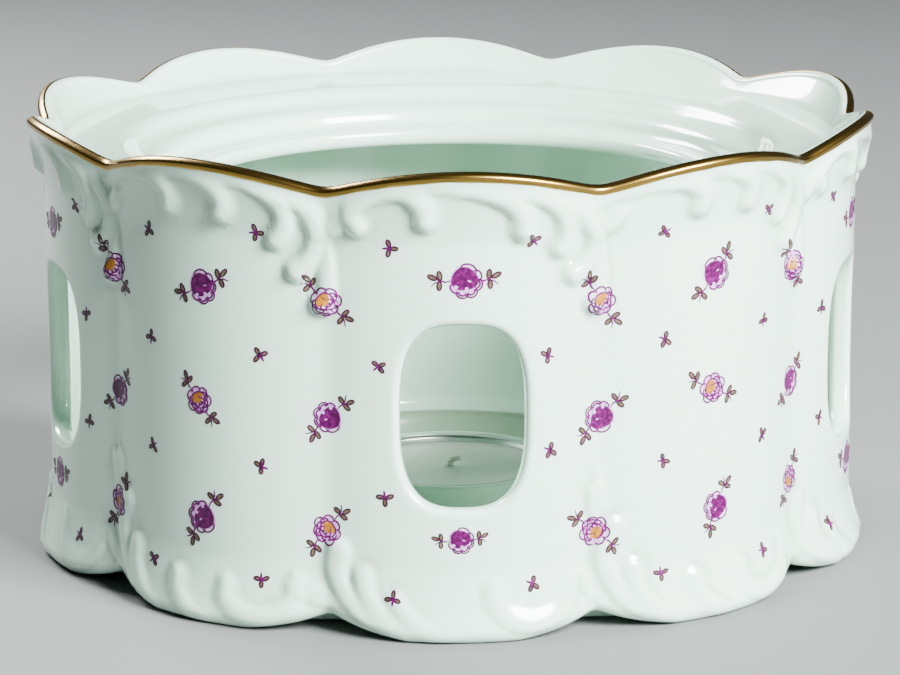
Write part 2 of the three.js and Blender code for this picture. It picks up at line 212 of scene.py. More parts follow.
# The scrolls of the mould, drawn flat on one plain lobe and one lobe with a window: each stroke is a
# list of (mm to the right of the lobe's middle, height, half width). Each is a comma whose round end
# hangs from the lip's border or stands on the foot's. On the left of its line it fades into the border,
# and on the right it ends in a crisp edge.
PLAIN_SCROLLS = [
    [
        (-24, 77.3, 0.6), (-18.5, 79.2, 0.8), (-13, 80.1, 1), (-9, 79.8, 1.1), (-6.4, 78.2, 1.3),
        (-5.3, 76.6, 1.6), (-5.7, 75.4, 1.8),
    ],
    [(-4, 80.9, 0.5), (0, 81, 0.8), (3.2, 79.9, 1), (5.3, 78, 1.3), (5.9, 76.3, 1.6), (5.4, 75.1, 1.8)],
    [
        (4.6, 81.2, 0.5), (9.4, 80.9, 0.8), (14, 79.1, 1.1), (16.7, 76.8, 1.4), (17.2, 74.2, 1.6),
        (16.4, 72, 1.8), (15.6, 70.9, 1.9),
    ],
    [
        (15.3, 79.3, 0.6), (19, 77.8, 0.9), (21.5, 75.7, 1.2), (22.7, 73, 1.4), (22.4, 69.8, 1.6),
        (20.9, 67, 1.8), (19.2, 65.4, 2),
    ],
    [(23.6, 59.9, 2.1), (24.9, 62, 1.6), (25.2, 66, 1.2), (24.8, 71, 0.9), (23.4, 75.5, 0.6)],
    [(-28.3, 73.9, 0.7), (-26.5, 72.8, 0.9), (-24.5, 72.3, 1), (-22.6, 72.8, 1), (-21, 74, 0.9)],
    [(-11, 2.8, 0.7), (-14.5, 4.6, 1.4), (-17, 7.6, 1.9), (-17.6, 10.8, 2.2)],
    [(0.5, 2.6, 0.6), (-2.4, 3.6, 1.2), (-4.7, 5.6, 1.6), (-5.3, 8, 1.9)],
    [
        (18, 8.8, 1.3), (18.3, 6.5, 1.5), (16.3, 4.4, 1.6), (12.5, 3.1, 1.6), (8.6, 3.7, 1.6),
        (5.8, 5.6, 1.7), (5.7, 7.8, 1.8),
    ],
    [(19.6, 7.5, 0.8), (22.5, 6.4, 1), (25.6, 5.6, 0.7)],
    [(-21, 18.6, 2.2), (-23, 14.5, 2), (-22.6, 10.4, 1.7), (-20.6, 6.6, 1.2), (-17.5, 3.4, 0.7)],
    [(-24.9, 25.6, 1.5), (-25.2, 23, 1.1), (-25, 20, 0.6)],
]
WINDOW_SCROLLS = [
    [
        (-18.3, 74.1, 1.8), (-19.2, 75.8, 1.5), (-17.5, 77.8, 1.1), (-15, 79.5, 1), (-12.4, 80.1, 1),
        (-9.8, 79.9, 1.1), (-8.1, 78.7, 1.3), (-7, 76.9, 1.5), (-6.6, 75.4, 1.8),
    ],
    [
        (-5.2, 80.9, 0.5), (-1.9, 80.9, 0.7), (1.4, 80.6, 0.9), (4.7, 79.8, 1.1), (7.7, 78.4, 1.3),
        (9.5, 76.6, 1.5), (10.2, 74.8, 1.7), (10.4, 73.5, 1.9),
    ],
    [
        (9.7, 80, 0.5), (13.3, 78.8, 0.9), (16.1, 77.2, 1.2), (17.7, 75.2, 1.5), (18.2, 73, 1.6),
        (17.9, 71, 1.8), (17.2, 69.9, 1.9),
    ],
    [
        (18, 77.8, 0.6), (20.4, 76.2, 0.9), (22.7, 73.8, 1.2), (23.6, 71, 1.4), (23, 68.2, 1.6),
        (21.2, 65.9, 1.8), (19.8, 65, 1.9),
    ],
    *PLAIN_SCROLLS[4:6],
    [(-10.5, 3, 0.7), (-14.6, 5.4, 1.4), (-17.2, 8.4, 1.9), (-17.9, 11.3, 2.1)],
    [(-4, 2.5, 0.6), (-7, 3.6, 1.1), (-9.8, 5.3, 1.5), (-11.7, 7.6, 1.7)],
    [
        (4.8, 9, 1.05), (5.5, 6.2, 1), (8.2, 3.6, 0.9), (12.2, 2.6, 0.85), (16.2, 3.6, 0.9),
        (18.9, 6.2, 1), (20, 9.2, 1.1),
    ],
    [(21.6, 9.2, 1), (23.6, 6.6, 0.7)],
    [(-22.6, 15.4, 2.3), (-23, 12, 2.1), (-21.8, 8.4, 1.7), (-19, 5.2, 1.2), (-15.5, 2.8, 0.7)],
]
SCROLL_RISE, FOOT_SCROLL_RISE, SCROLL_SPREAD, SCROLL_FADE = 0.64, 0.36, 1.2, 4.2
SCROLL_HALF_WIDTH, SCROLL_TOP, SCROLL_SIDE = 1.9, 3, 1.4
# The dark line beside a crisp edge, pooled glaze and painted shadow: where it lies and how wide, as shares
# of the crisp reach.
GLAZE_AND_SHADOW_BESIDE, GLAZE_AND_SHADOW_REACH = 1.1, 0.4
GIRTH_RADIUS = 78
LOBE_WIDTH = GIRTH_RADIUS * 2 * math.pi / LOBES
PLAIN_ABOVE, CARVED_BELOW = 2.3, 4.2


def smooth_stroke(points, steps=7):
    """More points along a stroke, on a curve that passes through the given ones."""
    p = np.array(points)
    padded = np.vstack([2 * p[0] - p[1], p, 2 * p[-1] - p[-2]])
    curve = [p[0]]
    for a, b, c, d in zip(padded, padded[1:], padded[2:], padded[3:]):
        square, cube = 2 * a - 5 * b + 4 * c - d, 3 * b - a - 3 * c + d
        for t in np.linspace(0, 1, steps + 1)[1:]:
            curve.append(0.5 * (2 * b + (c - a) * t + square * t**2 + cube * t**3))
    return np.array(curve)


def scroll_relief(across, height):
    """How high the scrolls stand, in mm, and the pooled glaze and painted shadow beside them, 0 to 1.
    Across runs over two lobes: a window's is in the middle at 0, and a plain one at LOBE_WIDTH.
    Summed fourth powers blend strokes that meet."""
    rise, pooled = np.zeros_like(across), np.zeros_like(across)
    each = np.arange(len(across))
    for lobe in (-1, 0, 1, 2):
        for stroke in PLAIN_SCROLLS if lobe % 2 else WINDOW_SCROLLS:
            curve = smooth_stroke(stroke)
            tangent = np.gradient(curve[:, :2], axis=0)
            x = across[:, None] - curve[:, 0] - lobe * LOBE_WIDTH
            z = height[:, None] - curve[:, 1]
            away = np.hypot(x, z)
            nearest = away.argmin(1)
            away, x, z = away[each, nearest], x[each, nearest], z[each, nearest]
            crisp = curve[nearest, 2] * SCROLL_SPREAD
            on_left = tangent[nearest, 0] * z - tangent[nearest, 1] * x > 0
            fade = SCROLL_FADE * np.clip(1 - curve[nearest, 2] / SCROLL_HALF_WIDTH, 0, 1)
            reach = np.where(on_left, crisp + fade, crisp)
            share = away / reach
            full = crisp * (SCROLL_RISE if stroke[0][1] > WINDOW_CENTRE else FOOT_SCROLL_RISE)
            rise += (np.clip(1 - share**SCROLL_TOP, 0, 1) ** SCROLL_SIDE * full) ** 4
            # A dark line beside the crisp edge only: pooled glaze and painted shadow.
            beside = np.exp(-(((away / crisp - GLAZE_AND_SHADOW_BESIDE) / GLAZE_AND_SHADOW_REACH) ** 2))
            pooled = np.maximum(pooled, np.where(on_left, 0, beside))
    return rise**0.25, pooled


VALLEY_CROWDING = 0.06


def column_angles(columns):
    """The angles of a ring's columns, closer together in the valleys. Angle 0 faces -Y."""
    share = np.arange(columns) / columns * LOBES
    lobe = np.round(share)
    share = share - lobe
    return (lobe + share + VALLEY_CROWDING * np.sin(2 * math.pi * share)) * 2 * math.pi / LOBES


LIP_POWER, FOOT_POWER = 0.83, 0.62
LIP_SOFTNESS, FOOT_SOFTNESS = 0.15, 0.09


def lobe_swell(angle, foot_share=0.0):
    """1 on a ridge and nearly 0 in a valley."""
    soft = mix(LIP_SOFTNESS, FOOT_SOFTNESS, foot_share) ** 2
    power = mix(LIP_POWER, FOOT_POWER, foot_share)
    return ((np.cos(angle * LOBES / 2) ** 2 + soft) / (1 + soft)) ** (power / 2)


class Blank:
    """A round form that scallops may be pressed into: its points, each with its place in a valley."""

    def __init__(self):
        self.angles, self.stations, self.relief, self.pooled, self.faces = [], [], [], [], []

    def add(self, angle, station, rise=0.0, pooled=0.0):
        self.angles.append(angle)
        self.stations.append(station)
        self.relief.append(rise)
        self.pooled.append(pooled)
        return len(self.angles) - 1

    def ring(self, station, columns, carved=False, glaze_and_shade=0.0):
        """Points all round at a station, carved with the scrolls, or darkened by glaze and painted shade."""
        angles = column_angles(columns)
        rise, pooled = np.zeros(columns), np.full(columns, glaze_and_shade)
        if carved:
            two_lobes = 4 * math.pi / LOBES
            turn = (angles + two_lobes / 4) % two_lobes - two_lobes / 4
            swell = lobe_swell(angles, station[5])
            height = np.maximum(mix(station[3], station[1], swell), station[4])
            rise, pooled = scroll_relief(turn * GIRTH_RADIUS, height)
            below_lip = mix(LIP_VALLEY[1], LIP_RIDGE[1], lobe_swell(angles)) - height
            carved_share = np.clip((below_lip - PLAIN_ABOVE) / (CARVED_BELOW - PLAIN_ABOVE), 0, 1)
            rise, pooled = rise * carved_share, pooled * carved_share
        return [self.add(a, station, u, v) for a, u, v in zip(angles, rise, pooled)]

    def bridge(self, near, far, skip=()):
        """Faces between two rings, of which one may have half as many points as the other."""
        for j in range(min(len(near), len(far))):
            if j in skip:
                continue
            if len(near) == len(far):
                k = (j + 1) % len(near)
                self.faces.append((near[j], far[j], far[k], near[k]))
                continue
            fine, rough = (near, far) if len(near) > len(far) else (far, near)
            a, b, c = fine[2 * j], fine[2 * j + 1], fine[(2 * j + 2) % len(fine)]
            d, e = rough[j], rough[(j + 1) % len(rough)]
            self.faces += [(a, b, d), (b, e, d), (b, c, e)]

    def mesh(self, name):
        angle, stations = np.array(self.angles), np.array(self.stations) * MM
        radius, height = stations[:, 0], stations[:, 1]
        points = np.stack([radius * np.sin(angle), -radius * np.cos(angle), height], 1)
        mesh = bpy.data.meshes.new(name)
        mesh.from_pydata(points.tolist(), [], self.faces)
        values = {
            "valley_radius": stations[:, 2],
            "valley_height": stations[:, 3],
            "rest_height": stations[:, 4],
            "foot_share": stations[:, 5] / MM,
            "relief": np.array(self.relief) * MM,
            "pooled": np.array(self.pooled),
        }
        for label, value in values.items():
            attribute = mesh.attributes.new(label, "FLOAT", "POINT")
            attribute.data.foreach_set("value", value.astype(np.float32))
        return mesh


def patch_columns(half, columns):
    """Which columns of a ring lie in the windows' patches, each half to either side of its middle."""
    step = 2 * columns // LOBES
    return {(n * step + j) % columns for n in range(LOBES // 2) for j in range(-half, half)}


# Each window has a patch of its own mesh in the wall: PATCH_HALF columns to either side and PATCH_ROWS
# high. Inside, rings darkened by thicker glaze and painted shade go up past it, and the floor round the
# socket is painted dark as the shade that falls there.
FINE, MIDDLING, COARSE = 600, 300, 150
PATCH_HALF, PATCH_TOP, PATCH_ROWS = 16, 28, 28
BELOW_PATCH, ABOVE_PATCH = (12, 16.5), 65.5
# Inside, thicker glaze and painted shade darken the rings, and from FLOOR_FROM to FLOOR_TO mm out the floor
# is painted dark as shade.
INNER_GLAZE_AND_SHADE, FLOOR_PAINTED_SHADE, FLOOR_FROM, FLOOR_TO = 0.38, 3.3, 22.5, 72
FINER_FROM = 70

blank = Blank()
rings = [
    blank.ring(s, COARSE, glaze_and_shade=FLOOR_PAINTED_SHADE if FLOOR_FROM < s[0] < FLOOR_TO else INNER_GLAZE_AND_SHADE)
    for s in socket_and_floor
]
outer_rows = upper_wall + middle_wall + lower_wall
patch_stations = outer_rows[PATCH_TOP - 1 : PATCH_TOP + PATCH_ROWS]
patch_heights = [s[1] if s[4] < 0 else max(s[1], s[4]) for s in patch_stations]
inner_rows = [inside(0, z) for z in (*BELOW_PATCH, *patch_heights[::-2], ABOVE_PATCH)]
first_inner = len(rings) + len(BELOW_PATCH)
rings += [blank.ring(s, MIDDLING, glaze_and_shade=INNER_GLAZE_AND_SHADE) for s in inner_rows + shoulder]
rings += [blank.ring(s, COARSE, glaze_and_shade=INNER_GLAZE_AND_SHADE) for s in underside_of_dish]
rings += [blank.ring(s, COARSE if s[0] < FINER_FROM else MIDDLING) for s in dish[1:]]
rings += [blank.ring(s, MIDDLING) for s in flare_rows + over_lip[:6]]
rings += [blank.ring(s, FINE) for s in over_lip[6:]]
first_outer = len(rings) + PATCH_TOP - 1
rings += [blank.ring(s, FINE, carved=True) for s in outer_rows + foot[:3]]
rings += [blank.ring(s, FINE) for s in foot[3:5]]
rings += [blank.ring(s, MIDDLING) for s in foot[5:]]
rings += [blank.ring(s, COARSE) for s in underside]
blank.faces += [tuple(rings[0]), tuple(rings[-1])]
inner_skip = patch_columns(PATCH_HALF // 2, MIDDLING)
outer_skip = patch_columns(PATCH_HALF, FINE)
for n, (near, far) in enumerate(zip(rings, rings[1:])):
    skip = ()
    if first_inner <= n < first_inner + PATCH_ROWS // 2:
        skip = inner_skip
    if first_outer <= n < first_outer + PATCH_ROWS:
        skip = outer_skip
    blank.bridge(near, far, skip)


def patch_edge(rows, centre, half):
    """The points round a window's patch, from its lower left corner up, across, down and back."""
    count = len(rows[0])
    left, right = (centre - half) % count, (centre + half) % count
    across = [(centre + j) % count for j in range(-half, half)]
    up = [row[left] for row in rows[:-1]]
    over = [rows[-1][j] for j in across]
    down = [row[right] for row in rows[:0:-1]]
    back = [rows[0][(centre - j) % count] for j in range(-half, half)]
    return up + over + down + back


WINDOW_SQUARENESS, WINDOW_EDGE = 2.95, 1.3


def window_rings(edge, middle, steps, half_height, half_width):
    """Rings from a patch's edge towards the window's oval. Each step is how far a ring has come, how
    much wider than the window its oval is, and how deep in the wall it lies."""
    spots = []
    for point in edge:
        angle, station = blank.angles[point], blank.stations[point]
        height = max(mix(station[3], station[1], lobe_swell(angle)), station[4])
        spots.append((WALL_RIDGE * math.sin(angle - middle), height - WINDOW_CENTRE))
    rings_made = []
    for share, wide, depth in steps:
        ring = []
        for x, z in spots:
            turn = math.atan2(z / half_height, x / half_width)
            c, s = math.cos(turn), math.sin(turn)
            reach = (abs(c) ** WINDOW_SQUARENESS + abs(s) ** WINDOW_SQUARENESS) ** (-1 / WINDOW_SQUARENESS)
            oval_x = (WINDOW_WIDTH / 2 + wide) * reach * c
            oval_z = (WINDOW_HEIGHT / 2 + wide) * reach * s
            across, up = mix(x, oval_x, share), mix(z, oval_z, share) + WINDOW_CENTRE
            station = place((WALL_RIDGE - depth, up), (WALL_VALLEY - depth, up))
            ring.append(blank.add(middle + math.asin(across / WALL_RIDGE), station))
        rings_made.append(ring)
    return rings_made


rounded = [
    (WINDOW_EDGE * (1 - math.sin(turn)), WINDOW_EDGE * (1 - math.cos(turn)))
    for turn in np.linspace(0, math.pi / 2, 6)
]
outer_steps = [(share, WINDOW_EDGE, 0.0) for share in (0.35, 0.65, 0.87, 1)]
outer_steps += [(1, wide, depth) for wide, depth in rounded[1:]]
outer_steps += [(1, wide, WALL_THICKNESS - depth) for wide, depth in rounded[::-1]]
inner_steps = [(share, WINDOW_EDGE, WALL_THICKNESS) for share in (0.85, 0.45)]
outer_patch = rings[first_outer : first_outer + PATCH_ROWS + 1][::-1]
inner_patch = rings[first_inner : first_inner + PATCH_ROWS // 2 + 1]
half_width = WALL_RIDGE * math.sin(blank.angles[outer_patch[0][PATCH_HALF]])
half_height = (patch_heights[0] - patch_heights[-1]) / 2
for n in range(LOBES // 2):
    middle = n * 4 * math.pi / LOBES
    outer = patch_edge(outer_patch, n * 2 * FINE // LOBES, PATCH_HALF)
    inner = patch_edge(inner_patch, n * 2 * MIDDLING // LOBES, PATCH_HALF // 2)
    window = window_rings(outer, middle, outer_steps, half_height, half_width)
    window += window_rings(inner, middle, inner_steps, half_height, half_width)
    loop = [outer, *window, inner]
    for near, far in zip(loop, loop[1:]):
        blank.bridge(near, far)

# One small function adds a node to any tree. Links gives each input a value, a socket, or another
# node, whose first output is used.


def add(tree, kind, links=None, **settings):
    node = tree.nodes.new(kind)
    for name, value in settings.items():
        setattr(node, name, value)
    for key, value in (links or {}).items():
        if isinstance(value, bpy.types.Node):
            value = value.outputs[0]
        if isinstance(value, bpy.types.NodeSocket):
            tree.links.new(value, node.inputs[key])
        else:
            node.inputs[key].default_value = value
    return node


def geometry_tree(name, inputs):
    """A Geometry Nodes tree with named inputs: each is a socket kind and the value it starts from."""
    tree = bpy.data.node_groups.new(name, "GeometryNodeTree")
    tree.interface.new_socket("Geometry", in_out="INPUT", socket_type="NodeSocketGeometry")
    for label, (kind, value) in inputs.items():
        socket = tree.interface.new_socket(label, in_out="INPUT", socket_type="NodeSocket" + kind)
        if value is not None:
            socket.default_value = value
    tree.interface.new_socket("Geometry", in_out="OUTPUT", socket_type="NodeSocketGeometry")
    return tree, tree.nodes.new("NodeGroupInput").outputs, tree.nodes.new("NodeGroupOutput").inputs


def end_tree(tree, geometry, surface, result):
    """Ends a tree in real geometry with its material on it."""
    whole = add(tree, "GeometryNodeRealizeInstances", {"Geometry": geometry})
    coated = add(tree, "GeometryNodeSetMaterial", {"Geometry": whole, "Material": surface})
    tree.links.new(coated.outputs[0], result["Geometry"])


def set_out(name, data):
    """A new object in the scene."""
    made = bpy.data.objects.new(name, data)
    bpy.context.scene.collection.objects.link(made)
    return made


def formed(name, start, tree, values):
    """Runs a tree on a start mesh and keeps what it makes as a plain mesh piece."""
    maker = set_out(name + "_start", start)
    modifier = maker.modifiers.new(tree.name, "NODES")
    modifier.node_group = tree
    for item in tree.interface.items_tree:
        if item.in_out == "INPUT" and item.name in values:
            modifier[item.identifier] = values[item.name]
    depsgraph = bpy.context.evaluated_depsgraph_get()
    mesh = bpy.data.meshes.new_from_object(maker.evaluated_get(depsgraph))
    bpy.data.objects.remove(maker)
    mesh.name = name
    return set_out(name, mesh)


def linear(hex_colour):
    """An sRGB hex colour as the linear one that a shader takes."""
    parts = [int(hex_colour[n : n + 2], 16) / 255 for n in (1, 3, 5)]
    return (*[c / 12.92 if c <= 0.04045 else ((c + 0.055) / 1.055) ** 2.4 for c in parts], 1)


def material(name, values):
    """A new material, with values for its shader's inputs."""
    made = bpy.data.materials.new(name)
    made.use_nodes = True
    tree = made.node_tree
    shader = tree.nodes["Principled BSDF"]
    for label, value in values.items():
        shader.inputs[label].default_value = value
    return made, tree, shader


# Hard porcelain under a clear feldspar glaze, fired glossy: a cool white with a breath of green, whose
# surface waves very slightly. The glaze is olive grey where it lies thick, and the same olive grey is
# painted in as shade: the soft line beside each scroll's crisp edge is pooled glaze and painted shadow,
# the inside is darkened by thicker glaze and painted shade, and the floor round the socket is painted
# dark as the shade under the dish. Sizes of clouds and ripples are in mm.
PORCELAIN, POOLED_GLAZE_AND_SHADE = "#CAECDA", "#5C6C4A"
CLOUD_SIZE, CLOUDING, POOLING_AND_SHADE = 22.2, 0.07, 0.28
RIPPLE_SIZE, RIPPLE_STRENGTH, RIPPLE_HEIGHT = 9.1, 0.25, 0.06
glazed_porcelain, tree, shader = material(
    "glazed_hard_porcelain",
    {
        "Roughness": 0.22,
        "IOR": 1.5,
        "Coat Weight": 0.8,
        "Coat Roughness": 0.05,
        "Subsurface Weight": 0.12,
        "Subsurface Radius": (1.0, 1.1, 0.9),
        "Subsurface Scale": 2 * MM,
    },
)
where = add(tree, "ShaderNodeTexCoord").outputs["Object"]
clouding = add(tree, "ShaderNodeTexNoise", {"Vector": where, "Scale": 1 / (CLOUD_SIZE * MM), "Detail": 3})
# The darkening attribute carries pooled glaze and painted shade, and random clouding is added to it.
depth = add(tree, "ShaderNodeAttribute", attribute_name="pooled").outputs["Fac"]
thin = add(tree, "ShaderNodeMath", {0: clouding, 1: CLOUDING}, operation="MULTIPLY")
olive_share = add(tree, "ShaderNodeMath", {0: depth, 1: POOLING_AND_SHADE, 2: thin}, operation="MULTIPLY_ADD")
colour = add(
    tree, "ShaderNodeMix", {0: olive_share, 6: linear(PORCELAIN), 7: linear(POOLED_GLAZE_AND_SHADE)}, data_type="RGBA"
)
tree.links.new(colour.outputs[2], shader.inputs["Base Color"])
ripple = add(tree, "ShaderNodeTexNoise", {"Vector": where, "Scale": 1 / (RIPPLE_SIZE * MM), "Detail": 2})
bump = add(
    tree, "ShaderNodeBump", {"Height": ripple, "Strength": RIPPLE_STRENGTH, "Distance": RIPPLE_HEIGHT * MM}
)
tree.links.new(bump.outputs[0], shader.inputs["Normal"])


def round_axis(tree, turn, radius, height):
    """The way out from the axis at a turn, which is 0 towards -Y, and the point at a radius and height."""
    sine = add(tree, "ShaderNodeMath", {0: turn}, operation="SINE")
    cosine = add(tree, "ShaderNodeMath", {0: turn}, operation="COSINE")
    front = add(tree, "ShaderNodeMath", {0: cosine, 1: -1.0}, operation="MULTIPLY")
    outward = add(tree, "ShaderNodeCombineXYZ", {0: sine, 1: front})
    away = add(tree, "ShaderNodeVectorMath", {0: outward, "Scale": radius}, operation="SCALE")
    level = add(tree, "ShaderNodeCombineXYZ", {2: height})
    return outward, add(tree, "ShaderNodeVectorMath", {0: away, 1: level}, operation="ADD")


# The tree presses the scallops into the round blank: each point moves towards its place in the valley
# by how far its angle is from a ridge. It then raises the scrolls along the surface's own direction.
scallops, given, result = geometry_tree(
    "Scallops",
    {
        "Lobes": ("Float", float(LOBES)),
        "Lip power": ("Float", LIP_POWER),
        "Foot power": ("Float", FOOT_POWER),
        "Lip softness": ("Float", LIP_SOFTNESS),
        "Foot softness": ("Float", FOOT_SOFTNESS),
        "Relief": ("Float", 1.0),
        "Surface": ("Material", None),
    },
)
named = {
    label: add(scallops, "GeometryNodeInputNamedAttribute", {"Name": label}, data_type="FLOAT")
    for label in ("valley_radius", "valley_height", "rest_height", "foot_share", "relief")
}
position = add(scallops, "GeometryNodeInputPosition")
xyz = add(scallops, "ShaderNodeSeparateXYZ", {0: position}).outputs
back = add(scallops, "ShaderNodeMath", {0: xyz[1], 1: -1.0}, operation="MULTIPLY")
turn = add(scallops, "ShaderNodeMath", {0: xyz[0], 1: back}, operation="ARCTAN2")
flat = add(scallops, "ShaderNodeCombineXYZ", {0: xyz[0], 1: xyz[1]})
ridge_radius = add(scallops, "ShaderNodeVectorMath", {0: flat}, operation="LENGTH").outputs["Value"]
half_lobes = add(scallops, "ShaderNodeMath", {0: given["Lobes"], 1: 0.5}, operation="MULTIPLY")
phase = add(scallops, "ShaderNodeMath", {0: turn, 1: half_lobes}, operation="MULTIPLY")
cosine = add(scallops, "ShaderNodeMath", {0: phase}, operation="COSINE")
towards_foot = named["foot_share"]
softness, power = (
    add(scallops, "ShaderNodeMix", {0: towards_foot, 2: given["Lip " + what], 3: given["Foot " + what]})
    for what in ("softness", "power")
)
soft = add(scallops, "ShaderNodeMath", {0: softness, 1: 2.0}, operation="POWER")
wave = add(scallops, "ShaderNodeMath", {0: cosine, 1: cosine, 2: soft}, operation="MULTIPLY_ADD")
most = add(scallops, "ShaderNodeMath", {0: soft, 1: 1.0}, operation="ADD")
level = add(scallops, "ShaderNodeMath", {0: wave, 1: most}, operation="DIVIDE")
half_power = add(scallops, "ShaderNodeMath", {0: power, 1: 0.5}, operation="MULTIPLY")
swell = add(scallops, "ShaderNodeMath", {0: level, 1: half_power}, operation="POWER")
radius = add(scallops, "ShaderNodeMix", {0: swell, 2: named["valley_radius"], 3: ridge_radius})
lifted = add(scallops, "ShaderNodeMix", {0: swell, 2: named["valley_height"], 3: xyz[2]})
height = add(scallops, "ShaderNodeMath", {0: lifted, 1: named["rest_height"]}, operation="MAXIMUM")
_, pressed = round_axis(scallops, turn, radius, height)
scalloped = add(scallops, "GeometryNodeSetPosition", {"Geometry": given["Geometry"], "Position": pressed})
normal = add(scallops, "GeometryNodeInputNormal")
rise = add(scallops, "ShaderNodeMath", {0: named["relief"], 1: given["Relief"]}, operation="MULTIPLY")
lift = add(scallops, "ShaderNodeVectorMath", {0: normal, "Scale": rise}, operation="SCALE")
raised = add(scallops, "GeometryNodeSetPosition", {"Geometry": scalloped, "Offset": lift})
smooth = add(scallops, "GeometryNodeSetShadeSmooth", {"Geometry": raised})
end_tree(scallops, smooth, given["Surface"], result)


def faces_outwards(mesh):
    """Turns every face of a closed mesh outwards."""
    form = bmesh.new()
    form.from_mesh(mesh)
    bmesh.ops.recalc_face_normals(form, faces=form.faces)
    form.to_mesh(mesh)
    form.free()


start = blank.mesh("porcelain_blank")
faces_outwards(start)
porcelain_shell = formed("porcelain_shell", start, scallops, {"Surface": glazed_porcelain})
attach(porcelain_shell, "warmer")
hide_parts("warmer_body")

# The gilding is a band of liquid bright gold, brushed on the outside of the lip over the fired glaze
# and fired again. It is a few hundredths of a millimetre proud, and its lower edge shows the brush.

GILT_FROM, GILT_FOOT, GILT_PROUD, GILT_SUNK = 0.25, 0.75, 0.05, 0.12
BRUSH_WANDER = 0.07
BRUSH_WAVES = ((1, 37, 0), (0.7, 61, 1), (0.5, 101, 2))
BOTH_HEIGHTS = np.array([0, 1, 0, 1, 0, 0])


def gilt_skin(proud):
    over = [lip_arc(share, proud) for share in (0.5, 0.6, 0.7, 0.8, 0.9, 1)]
    down = []
    for drop in np.linspace(GILT_FROM, GILT_FOOT, 5):
        station = on_wall(lip_edge[1] - drop, lip_edge[3] - drop)
        station[[0, 2]] += proud
        down.append(station)
    return over + down


band = Blank()
outer_skin = [band.ring(s, FINE) for s in gilt_skin(GILT_PROUD)]
inner_skin = [band.ring(s, FINE) for s in gilt_skin(-GILT_SUNK)[::-1]]
for ring in (outer_skin[-1], inner_skin[0]):
    for point in ring:
        angle = band.angles[point]
        wander = sum(size * math.sin(waves * angle + start) for size, waves, start in BRUSH_WAVES)
        band.stations[point] = band.stations[point] - BOTH_HEIGHTS * wander * BRUSH_WANDER / 2
skins = outer_skin + inner_skin
for near, far in zip(skins, skins[1:] + skins[:1]):
    band.bridge(near, far)
# Each point's place on the band, 1 over the lip and 0 at its lower edge, sets the painted reflection.
for n, ring in enumerate(outer_skin):
    for point in ring:
        band.pooled[point] = 1 - n / (len(outer_skin) - 1)

# Burnished gold, painted bright along its lower edge and browner over the lip as painted reflections.
# Fine brush drag runs round the rim.
BRIGHT_REFLECTED_GOLD, DARK_REFLECTED_GOLD = "#DDB85C", "#907438"
DRAG_SIZE, DRAG, REFLECTION_FROM, REFLECTION_TO = 3.85, 0.5, -0.05, 0.25
fired_gold, tree, shader = material("burnished_liquid_gold", {"Metallic": 1, "Roughness": 0.26})
height_on_band = add(tree, "ShaderNodeAttribute", attribute_name="pooled").outputs["Fac"]
where = add(tree, "ShaderNodeTexCoord").outputs["Object"]
drag = add(tree, "ShaderNodeTexNoise", {"Vector": where, "Scale": 1 / (DRAG_SIZE * MM), "Detail": 2})
uneven = add(tree, "ShaderNodeMath", {0: drag, 1: DRAG, 2: -DRAG / 2}, operation="MULTIPLY_ADD")
toward_dark_reflection = add(tree, "ShaderNodeMath", {0: height_on_band, 1: uneven}, operation="ADD")
# The painted reflection turns from bright gold at the lower edge to brown over the lip.
painted_reflection = add(tree, "ShaderNodeMapRange", {"Value": toward_dark_reflection, "From Min": REFLECTION_FROM, "From Max": REFLECTION_TO})
colour = add(tree, "ShaderNodeMix", {0: painted_reflection, 6: linear(BRIGHT_REFLECTED_GOLD), 7: linear(DARK_REFLECTED_GOLD)}, data_type="RGBA")
tree.links.new(colour.outputs[2], shader.inputs["Base Color"])

start = band.mesh("gilding_blank")
faces_outwards(start)
gilding = formed("gilding", start, scallops, {"Surface": fired_gold})
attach(gilding, "warmer")
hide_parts("gilt_rim_band")

# The rosebuds are transfers: each enamel is printed in its own pass, laid on the glaze by hand and
# fired in. A rose with a leafy spray at each end is in every valley and on every lobe, and small
# three-leaved sprigs stand between them.

# Fired onglaze enamels: glassy colour ground into flux. The purple comes from gold and goes on in
# strong and weak strokes, the same purple drawn thin makes the outlines, and the leaves are olive
# with brown-purple edges. Each is (strong colour, weak colour, rise in mm).
ENAMEL_COLOURS = {
    "purple_wash": ("#3A0034", "#660A5C", 0.045),
    "blush_wash": ("#B684C4", "#CDA6D4", 0.015),
    "yellow_wash": ("#8E5A0C", "#B07A22", 0.05),
    "leaf_wash": ("#4A4032", "#645C46", 0.04),
    "purple_line": ("#4A0446", "#66105E", 0.06),
    "leaf_line": ("#2C0A22", "#421034", 0.06),
}
LINE, FINE_LINE, PEN_TAPER = 0.32, 0.27, 0.45
LEAF_POINTS, STEM_FROM = 10, 2.4
RIM_SPREAD, RIM_REACH = 0.66, 0.55


def polar(radius, degrees):
    return radius * math.cos(math.radians(degrees)), radius * math.sin(math.radians(degrees))


